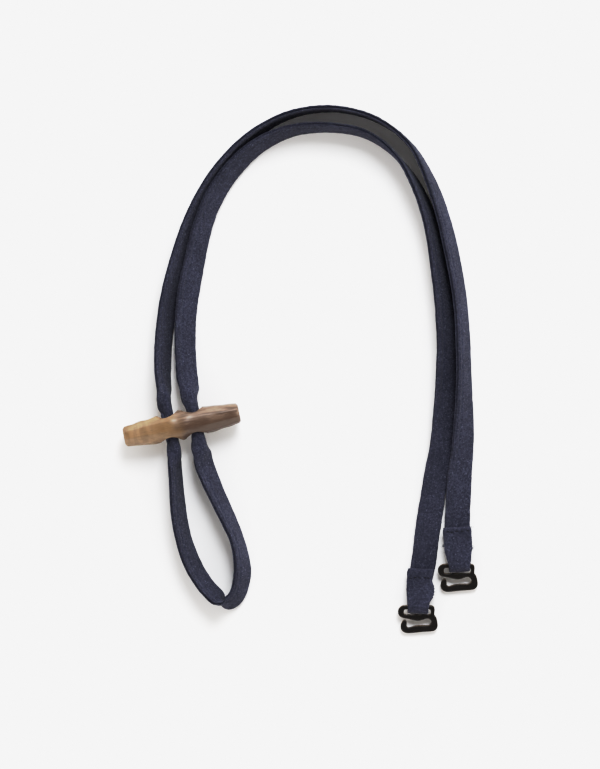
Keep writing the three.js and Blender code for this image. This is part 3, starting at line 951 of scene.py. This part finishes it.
# The hook: the outline of a G in mm from the middle of its top bar, and its slot for the strap.
hookForm = {
    "thickness": 1.6,
    "bar": 1.5,
    "slotHalf": 5.4,
    "slotDepth": 2.35,
    "slotCorner": 0.9,
    "faceSize": 0.12,
    "softenings": 16,
}
hookOutline = [
    (-4.7, 0.75), (-5.8, 0.7), (-6.8, 0.2), (-7.5, -0.6), (-7.8, -1.6), (-7.6, -2.8), (-7.1, -3.6),
    (-6.3, -4.15), (-4.7, -4.5), (-3.1, -4.85), (-1.3, -5.3), (0.4, -5.5), (2.1, -5.15),
    (3.4, -4.7), (4.5, -4.65), (5.3, -5.2), (5.65, -6.15), (5.3, -6.95), (4.5, -7.45), (2.9, -7.5),
    (0.7, -7.55), (-1.2, -7.75), (-2.7, -8.25), (-3.5, -8.4), (-4.1, -8.0), (-4.3, -7.2),
    (-4.25, -6.15), (-4.6, -5.4), (-5.25, -5.2), (-5.9, -5.65), (-6.4, -6.55), (-6.7, -7.6),
    (-6.55, -8.8), (-5.9, -9.9), (-4.8, -10.5), (-3.4, -10.65), (-0.6, -10.4), (2.0, -10.15),
    (4.7, -10.0), (6.4, -9.8), (7.6, -9.1), (8.2, -8.0), (8.25, -6.8), (8.0, -5.5), (7.6, -4.15),
    (7.0, -3.3), (6.85, -2.5), (7.0, -1.2), (6.85, -0.1), (6.3, 0.55), (5.3, 0.75), (2.6, 0.75),
    (0, 0.75), (-2.6, 0.75),
]


def slotOutline():
    corner = hookForm["slotCorner"]
    wide, top = hookForm["slotHalf"] - corner, -hookForm["bar"] / 2 - corner
    bottom = -hookForm["bar"] / 2 - hookForm["slotDepth"] + corner
    turn = np.linspace(0, math.pi / 2, 8)
    corners = [(wide, top, 0), (-wide, top, 1), (-wide, bottom, 2), (wide, bottom, 3)]
    return np.vstack([
        np.column_stack([
            x + corner * np.cos(turn + quarter * math.pi / 2),
            y + corner * np.sin(turn + quarter * math.pi / 2),
        ])
        for x, y, quarter in corners
    ])


# Black enamel. Its sloping rims are painted a paler brown in patches: a painted highlight for the bright
# walls caught on the rims, not wear.
enamel = {"black": (0.007, 0.006, 0.0055), "paintedRimHighlight": (0.085, 0.058, 0.036)}


def makeEnamel(look):
    material, wire, shader = newMaterial(
        "blackEnamel", {"Specular IOR Level": 0.22, "Coat Weight": 0.06, "Coat Roughness": 0.2}
    )
    place = wire.objectPlace()
    patch = wire.noise(place, 700.0, 3.0)
    fine = wire.noise(place, 3200.0, 2.0)
    rim = wire.make("Attribute", {"attribute_name": "rim"}, out=2)
    # Painted highlight: the steeper the surface, the more paler brown, in patches.
    paintedRimHighlight = rim.between(0.03, 0.5) * patch.between(0.3, 0.6)
    tint = wire.mix(paintedRimHighlight, colour(*look["black"]), colour(*look["paintedRimHighlight"]))
    plug(tint, shader, "Base Color")
    plug(fine.between(0.3, 0.7, 0.26, 0.42), shader, "Roughness")
    bump = wire.make("Bump", None, {"Strength": 0.5, "Distance": 0.0004, "Height": patch + fine * 0.3})
    plug(bump, shader, "Normal")
    return material


blackEnamel = makeEnamel(enamel)


# The outline is filled and given its thickness, then remade in small even faces and smoothed,
# which rounds its edges over like a casting's.
def makeHook(side):
    hook = hooks[side]
    data = bpy.data.curves.new(side + "HookOutline", "CURVE")
    data.dimensions = "2D"
    data.fill_mode = "BOTH"
    data.extrude = hookForm["thickness"] / 2
    corners = np.array(hookOutline)
    closed = np.vstack([corners[-1], corners, corners[:2]])
    places = np.linspace(1, len(corners) + 1, 6 * len(corners), endpoint=False)
    for outline in (throughPoints(closed, places, True), slotOutline()):
        spline = data.splines.new("POLY")
        spline.points.add(len(outline) - 1)
        flat = np.column_stack([outline, np.zeros(len(outline)), np.ones(len(outline))])
        spline.points.foreach_set("co", flat.ravel())
        spline.use_cyclic_u = True
    drawn = bpy.data.objects.new(side + "HookDrawn", data)
    bpy.context.scene.collection.objects.link(drawn)
    bpy.context.view_layer.update()
    shown = drawn.evaluated_get(bpy.context.evaluated_depsgraph_get())
    mesh = bpy.data.meshes.new_from_object(shown)
    bpy.data.objects.remove(drawn)
    piece = bpy.data.objects.new(side + "HookBody", mesh)
    bpy.context.scene.collection.objects.link(piece)
    remake = piece.modifiers.new("remake", "REMESH")
    remake.mode = "VOXEL"
    remake.voxel_size = hookForm["faceSize"]
    soften = piece.modifiers.new("soften", "SMOOTH")
    soften.factor = 0.5
    soften.iterations = hookForm["softenings"]
    applyAll(piece)
    mesh = piece.data
    mesh.materials.clear()
    mesh.materials.append(blackEnamel)
    mesh.polygons.foreach_set("use_smooth", [True] * len(mesh.polygons))
    normals = np.empty(len(mesh.vertices) * 3, np.float32)
    mesh.vertices.foreach_get("normal", normals)
    # How steeply the surface slopes; the enamel paints its rim highlight by it.
    rim = mesh.attributes.new("rim", "FLOAT", "POINT")
    rim.data.foreach_set("value", 1 - np.abs(normals[2::3]))
    reach = -corners[:, 1].min()
    droop = math.asin((strap["barHeight"] - hookForm["thickness"] / 2) / reach)
    place = np.array(hook["at"]) + shift
    seat = Matrix.Translation((place[0] * mm, place[1] * mm, strap["barHeight"] * mm))
    turned = Matrix.Rotation(math.radians(hook["turn"]), 4, "Z") @ Matrix.Rotation(droop, 4, "X")
    mesh.transform(seat @ turned @ Matrix.Scale(mm, 4))
    return piece


hookPieces = {side: makeHook(side) for side in hooks}
print("hooks", len(hookPieces["left"].data.polygons))

# What each piece rides on and stands for.
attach(strapPiece, "strap")
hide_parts("strap_inner_run", "strap_loop", "strap_outer_run", "left_tab", "right_tab")
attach(topstitch, "strap")
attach(fuzzPiece, "strap")
for side, row in tabRows.items():
    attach(row, "strap")
    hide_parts(side + "_tab_stitching")
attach(togglePiece, "toggle")
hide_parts("toggle")
for side, piece in hookPieces.items():
    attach(piece, side + "_hook")
    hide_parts(side + "_hook")

# The strap's middle line from fold to fold, in metres; the strap has a hook at each end.
path = frames["centre"][frames["foldFrom"] : frames["foldTo"]] * mm

# Plain pale floor and soft light from above, a little stronger from the top right.
studio = {
    "walls": 2.1,
    "warm": (1.035, 1.0, 0.96),
    "top": 0.1,
    "wallsBelow": 0.3,
    "topAbove": 0.75,
    "lamp": 30.0,
    "lampAt": (0.3, 1.3, 1.35),
    "lampSize": 0.85,
    "lampColour": (0.98, 1.0, 1.04),
    "white": 0.913,
}


def makeStudio(plan):
    material, wire, shader = newMaterial("paleFloor", {"Roughness": 0.95, "Specular IOR Level": 0.0})
    tone = wire.noise(wire.objectPlace(), 3.0, 1.0).between(0.0, 1.0, 0.898, 0.902)
    plug(wire.make("CombineXYZ", None, {0: tone, 1: tone, 2: tone}), shader, "Base Color")
    corners = np.array([[-3, -3, 0], [3, -3, 0], [3, 3, 0], [-3, 3, 0]], float)
    floor = meshFrom("floor", corners, [[0, 1, 2, 3]], material, False)
    world = bpy.data.worlds.new("studio")
    world.use_nodes = True
    wire = Wire(world.node_tree)
    towards = wire.make("SeparateXYZ", None, {0: wire.make("TexCoord")}, out=2)
    # The walls of the light tent are bright and its top, round the camera, is darker.
    strength = towards.between(plan["wallsBelow"], plan["topAbove"], plan["walls"], plan["top"])
    background = world.node_tree.nodes["Background"]
    plug(strength, background, "Strength")
    background.inputs["Color"].default_value = colour(*plan["warm"])
    bpy.context.scene.world = world
    data = bpy.data.lights.new("softbox", "AREA")
    data.energy = plan["lamp"]
    data.size = plan["lampSize"]
    data.color = plan["lampColour"]
    lamp = bpy.data.objects.new("softbox", data)
    lamp.location = plan["lampAt"]
    lamp.rotation_euler = (-Vector(plan["lampAt"])).to_track_quat("-Z", "Y").to_euler()
    bpy.context.scene.collection.objects.link(lamp)


makeStudio(studio)


# The view's tone curve: soft shadows are lifted, the darks are kept, and everything brighter than
# the paper comes out as the paper's tone. The curve is straight from there up.
toneCurve = {
    "lifted": [(0.07, 0.07), (0.16, 0.21), (0.3, 0.5), (0.46, 0.69), (0.62, 0.8), (0.8, 0.885)],
    "straightFrom": 0.85,
}


def setTone(white):
    view = bpy.context.scene.view_settings
    view.view_transform = "Standard"
    view.look = "None"
    view.use_curve_mapping = True
    tone = view.curve_mapping.curves[3]
    for place, value in toneCurve["lifted"]:
        tone.points.new(place, value)
    tone.points.new(white, white)
    tone.points[-1].location = (1.0, white)
    for point in tone.points:
        straight = point.location.x > toneCurve["straightFrom"]
        point.handle_type = "VECTOR" if straight else "AUTO_CLAMPED"
    view.curve_mapping.update()


setTone(studio["white"])
print("studio done")
